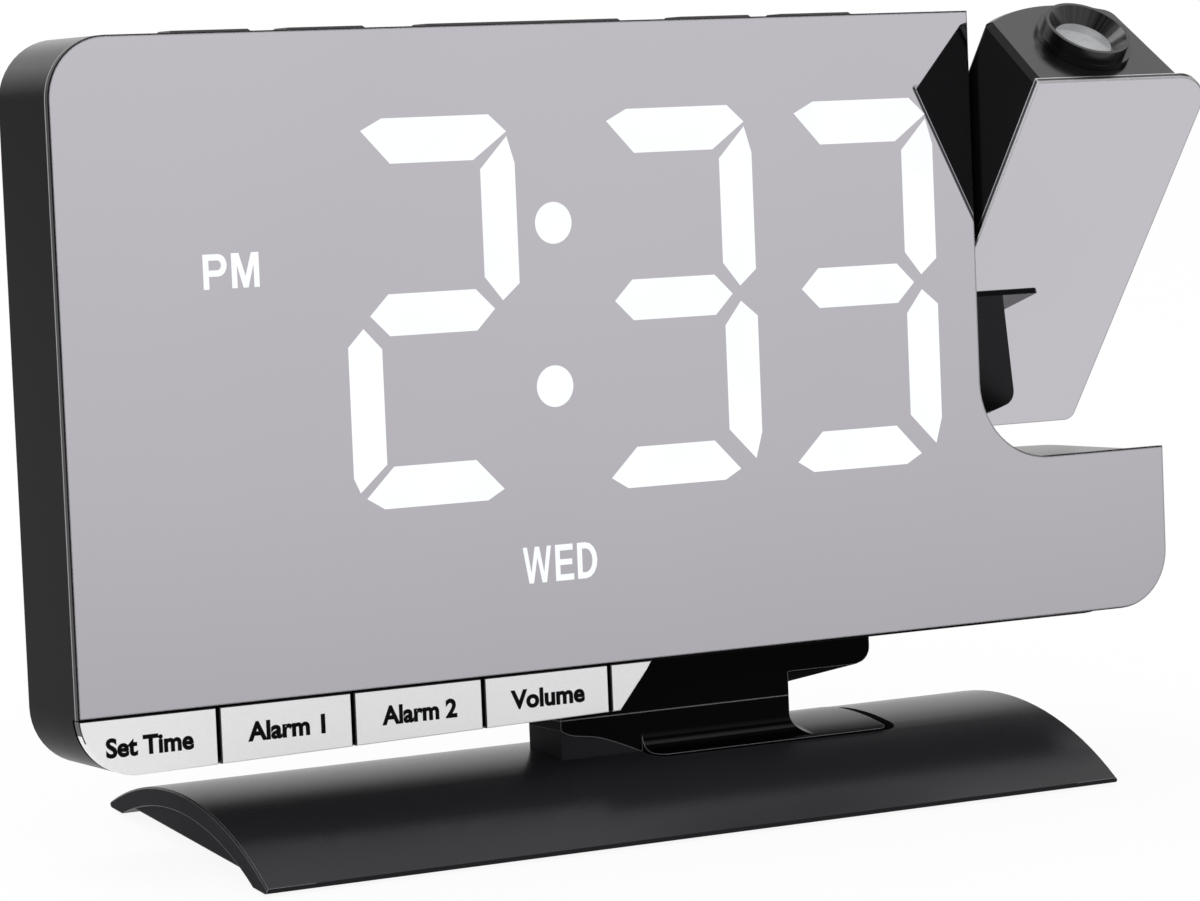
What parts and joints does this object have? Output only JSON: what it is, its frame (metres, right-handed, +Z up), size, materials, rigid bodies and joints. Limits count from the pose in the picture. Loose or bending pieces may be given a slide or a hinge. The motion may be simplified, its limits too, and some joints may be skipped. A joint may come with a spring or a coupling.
{
  "type": "projection alarm clock",
  "caption": "Desk alarm clock with a mirror-faced digital display leaning on an arched stand, and a tilting projector head in a notch at its upper corner.",
  "frame": {"origin": "on the table, under the middle of the clock's overall outline as it stands with its projector tilted forward", "axes": "+X to the right of someone reading the display, -Y towards them, +Z up"},
  "size_m": [0.19, 0.0618, 0.1204],
  "materials": {
    "housing_black": "fine satin",
    "cover_black": "fine grain",
    "mirror_front": "half-silvered acrylic",
    "reflector_white": "matte",
    "board_green": "solder mask",
    "switch_black": "matte",
    "speaker_black": "matte",
    "socket_metal": "plated",
    "jack_black": "gloss",
    "cell_steel": "satin",
    "spring_steel": "black zinc",
    "key_silver": "satin silver",
    "button_black": "fine satin",
    "bearing_plastic": "natural",
    "lens_clear": "clear",
    "slide_glass": "dark film on glass",
    "heat_sink_metal": "plain",
    "base_black": "satin",
    "neck_black": "gloss",
    "weight_steel": "plain",
    "foot_rubber": "matte"
  },
  "bodies": {
    "clock": {"front_frame": "housing_black", "rear_cover": "cover_black", "display_plate": "mirror_front", "segment_reflector": "reflector_white", "led_board": "board_green", "main_board": "board_green", "socket_board": "board_green", "top_switch_board": "board_green", "key_switch_board": "board_green", "top_switches": "switch_black", "key_switches": "switch_black", "speaker": "speaker_black", "usb_port": "socket_metal", "dc_jack": "jack_black", "battery_cup": "cover_black", "coin_cell": "cell_steel", "key_end_trim": "key_silver", "neck_socket": "neck_black", "hinge_bush": "bearing_plastic", "friction_washer": "bearing_plastic", "stand_neck": "neck_black", "base_shell": "base_black", "base_plate": "cover_black", "base_weights": "weight_steel", "rubber_feet": "foot_rubber"},
    "snooze_bar_body": {"snooze_bar": "button_black"},
    "light_button_body": {"light_button": "button_black"},
    "minus_button_body": {"minus_button": "button_black"},
    "plus_button_body": {"plus_button": "button_black"},
    "projector_button_body": {"projector_button": "button_black"},
    "time_key_body": {"time_key": "key_silver"},
    "alarm_one_key_body": {"alarm_one_key": "key_silver"},
    "alarm_two_key_body": {"alarm_two_key": "key_silver"},
    "volume_key_body": {"volume_key": "key_silver"},
    "battery_door_body": {"battery_door": "cover_black"},
    "projector": {"projector_shell": "housing_black", "projector_plate": "mirror_front", "hinge_axle": "bearing_plastic", "hinge_circlip": "spring_steel", "lens_barrel": "switch_black", "image_slide": "slide_glass", "condenser_lens": "lens_clear", "projector_led_board": "board_green", "heat_sink": "heat_sink_metal"},
    "focus": {"focus_ring": "housing_black", "focus_lens": "lens_clear"}
  },
  "joints": [
    {"name": "snooze_bar_press", "type": "slide", "parent": "clock", "child": "snooze_bar_body", "axis": [0, -0.1219, -0.9925], "range_m": [0, 0.00045], "stiffness_N_per_m": 400, "springref_m": -0.0005},
    {"name": "light_button_press", "type": "slide", "parent": "clock", "child": "light_button_body", "axis": [0, -0.1219, -0.9925], "range_m": [0, 0.00045], "stiffness_N_per_m": 400, "springref_m": -0.0005},
    {"name": "minus_button_press", "type": "slide", "parent": "clock", "child": "minus_button_body", "axis": [0, -0.1219, -0.9925], "range_m": [0, 0.00045], "stiffness_N_per_m": 400, "springref_m": -0.0005},
    {"name": "plus_button_press", "type": "slide", "parent": "clock", "child": "plus_button_body", "axis": [0, -0.1219, -0.9925], "range_m": [0, 0.00045], "stiffness_N_per_m": 400, "springref_m": -0.0005},
    {"name": "projector_button_press", "type": "slide", "parent": "clock", "child": "projector_button_body", "axis": [0, -0.1219, -0.9925], "range_m": [0, 0.00045], "stiffness_N_per_m": 400, "springref_m": -0.0005},
    {"name": "time_key_press", "type": "slide", "parent": "clock", "child": "time_key_body", "axis": [0, 0.9925, -0.1219], "range_m": [0, 0.0005], "stiffness_N_per_m": 400, "springref_m": -0.0005},
    {"name": "alarm_one_key_press", "type": "slide", "parent": "clock", "child": "alarm_one_key_body", "axis": [0, 0.9925, -0.1219], "range_m": [0, 0.0005], "stiffness_N_per_m": 400, "springref_m": -0.0005},
    {"name": "alarm_two_key_press", "type": "slide", "parent": "clock", "child": "alarm_two_key_body", "axis": [0, 0.9925, -0.1219], "range_m": [0, 0.0005], "stiffness_N_per_m": 400, "springref_m": -0.0005},
    {"name": "volume_key_press", "type": "slide", "parent": "clock", "child": "volume_key_body", "axis": [0, 0.9925, -0.1219], "range_m": [0, 0.0005], "stiffness_N_per_m": 400, "springref_m": -0.0005},
    {"name": "battery_door_turn", "type": "hinge", "parent": "clock", "child": "battery_door_body", "pos_m": [-0.058, 0.00701, 0.05557], "axis": [0, -0.9925, 0.1219], "range_deg": [0, 45]},
    {"name": "projector_tilt", "type": "hinge", "parent": "clock", "child": "projector", "pos_m": [0.06035, 0.0026, 0.08614], "axis": [1, 0, 0], "range_deg": [-126.6, 53.4]},
    {"name": "focus_turn", "type": "hinge", "parent": "projector", "child": "focus", "pos_m": [0.075, 0.00356, 0.08668], "axis": [0, -0.4939, 0.8695], "range_deg": [-90, 90]}
  ]
}
